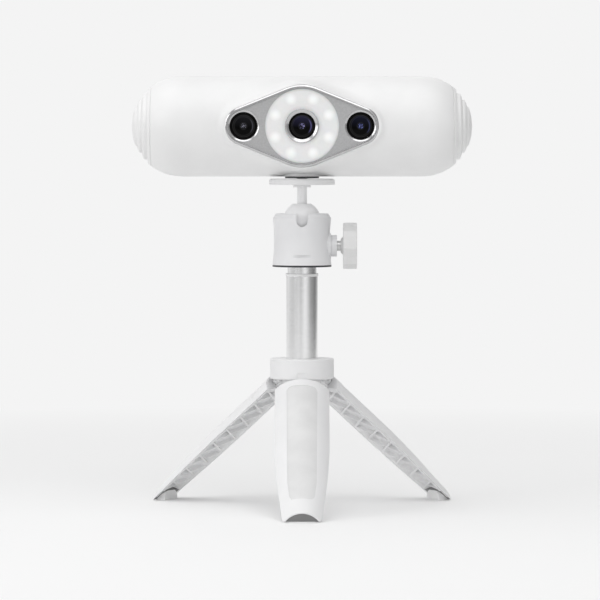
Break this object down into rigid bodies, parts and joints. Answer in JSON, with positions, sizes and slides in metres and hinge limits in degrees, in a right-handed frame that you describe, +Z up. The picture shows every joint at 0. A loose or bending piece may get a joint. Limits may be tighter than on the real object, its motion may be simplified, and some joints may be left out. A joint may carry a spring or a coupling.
{
  "type": "handheld 3-d scanner",
  "caption": "Handheld structured-light 3-D scanner: a white capsule body with a lozenge camera face and ring light, on a ball head, telescopic column and folding tripod grip.",
  "frame": {"origin": "on the floor, on the axis of the column, midway between the three feet", "axes": "+Z up along the column, -Y towards what is scanned, +X along the scanner's body"},
  "size_m": [0.204, 0.1594, 0.2584],
  "materials": {
    "body_white": "satin moulded white plastic",
    "leg_white": "fine-grained moulded white plastic",
    "grip_grey": "soft light grey grip panel",
    "frame_grey": "moulded grey plastic",
    "face_grey": "blasted and anodised face plate",
    "rim_silver": "bright bevelled rim",
    "bezel_silver": "turned cone around a lens",
    "diffuser": "translucent white plastic",
    "led": "white light-emitting diode",
    "lens_glass": "coated front glass",
    "barrel_black": "black lens barrel",
    "board_green": "circuit board",
    "bare_aluminium": "milled sheet",
    "tube_aluminium": "satin anodised tube",
    "head_white": "powder-coated white metal",
    "steel": "plain steel",
    "dark_rubber": "dark rubber washer",
    "socket_dark": "dark plated insert",
    "plug_grey": "dark grey end plug",
    "foot_rubber": "light grey foot"
  },
  "bodies": {
    "hub": {"hub_collar": "leg_white", "hub_core": "frame_grey", "hinge_pins": "steel"},
    "column_lower": {"lower_tube": "tube_aluminium", "tube_ring": "leg_white", "tube_stop": "frame_grey"},
    "column_upper": {"upper_tube": "tube_aluminium", "upper_plug": "frame_grey"},
    "head": {"ball_housing": "head_white", "ball_seat": "frame_grey", "base_gasket": "dark_rubber", "base_screw": "steel", "clamp_collar": "head_white"},
    "clamp": {"clamp_screw": "steel", "clamp_knob": "leg_white"},
    "ball": {"ball_stem": "head_white", "top_plate": "head_white", "plate_pad": "grip_grey", "camera_screw": "steel"},
    "scanner": {"front_shell": "body_white", "rear_shell": "body_white", "end_cap_left": "body_white", "end_cap_right": "body_white", "face_rim": "rim_silver", "face_plate": "face_grey", "lens_bezel_left": "bezel_silver", "lens_bezel_right": "bezel_silver", "lens_bezel_centre": "bezel_silver", "lens_glass_left": "lens_glass", "lens_glass_right": "lens_glass", "lens_glass_centre": "lens_glass", "camera_barrel_left": "barrel_black", "camera_barrel_right": "barrel_black", "projector_barrel": "barrel_black", "ring_light_diffuser": "diffuser", "ring_light_board": "board_green", "ring_light_leds": "led", "optical_bench": "bare_aluminium", "heat_spreader": "bare_aluminium", "main_board": "board_green", "usb_c_socket": "steel", "port_board": "board_green", "tripod_socket": "socket_dark", "shell_screws": "steel"},
    "scan_button": {"scan_button": "frame_grey"},
    "leg_front": {"leg_front_shell": "leg_white", "leg_front_frame": "frame_grey", "leg_front_grip": "grip_grey", "leg_front_foot": "foot_rubber", "leg_front_plug": "plug_grey"},
    "leg_left": {"leg_left_shell": "leg_white", "leg_left_frame": "frame_grey", "leg_left_grip": "grip_grey", "leg_left_foot": "foot_rubber", "leg_left_plug": "plug_grey"},
    "leg_right": {"leg_right_shell": "leg_white", "leg_right_frame": "frame_grey", "leg_right_grip": "grip_grey", "leg_right_foot": "foot_rubber", "leg_right_plug": "plug_grey"}
  },
  "joints": [
    {"name": "column_lower_slide", "type": "slide", "parent": "hub", "child": "column_lower", "axis": [0, 0, 1], "range_m": [-0.048, 0]},
    {"name": "column_upper_slide", "type": "slide", "parent": "column_lower", "child": "column_upper", "axis": [0, 0, 1], "range_m": [0, 0.04]},
    {"name": "head_pan", "type": "hinge", "parent": "column_upper", "child": "head", "pos_m": [0, 0, 0.14543], "axis": [0, 0, 1], "continuous": true},
    {"name": "ball_tilt", "type": "hinge", "parent": "head", "child": "ball", "pos_m": [0, 0, 0.17213], "axis": [1, 0, 0], "range_deg": [-45, 90]},
    {"name": "scanner_turn", "type": "hinge", "parent": "ball", "child": "scanner", "pos_m": [0, 0, 0.17213], "axis": [0, 0, 1], "continuous": true},
    {"name": "scan_button_press", "type": "slide", "parent": "scanner", "child": "scan_button", "axis": [0, -1, 0], "range_m": [0, 0.0008], "stiffness_N_per_m": 1500, "springref_m": -0.0005},
    {"name": "clamp_knob_turn", "type": "hinge", "parent": "head", "child": "clamp", "pos_m": [0, 0, 0.15683], "axis": [1, 0, 0], "range_deg": [0, 360]},
    {"name": "leg_front_hinge", "type": "hinge", "parent": "hub", "child": "leg_front", "pos_m": [0, -0.0145, 0.07683], "axis": [1, 0, 0], "range_deg": [0, 50]},
    {"name": "leg_left_hinge", "type": "hinge", "parent": "hub", "child": "leg_left", "pos_m": [-0.01256, 0.00725, 0.07683], "axis": [-0.5, -0.866, 0], "range_deg": [0, 50]},
    {"name": "leg_right_hinge", "type": "hinge", "parent": "hub", "child": "leg_right", "pos_m": [0.01256, 0.00725, 0.07683], "axis": [-0.5, 0.866, 0], "range_deg": [0, 50]}
  ]
}
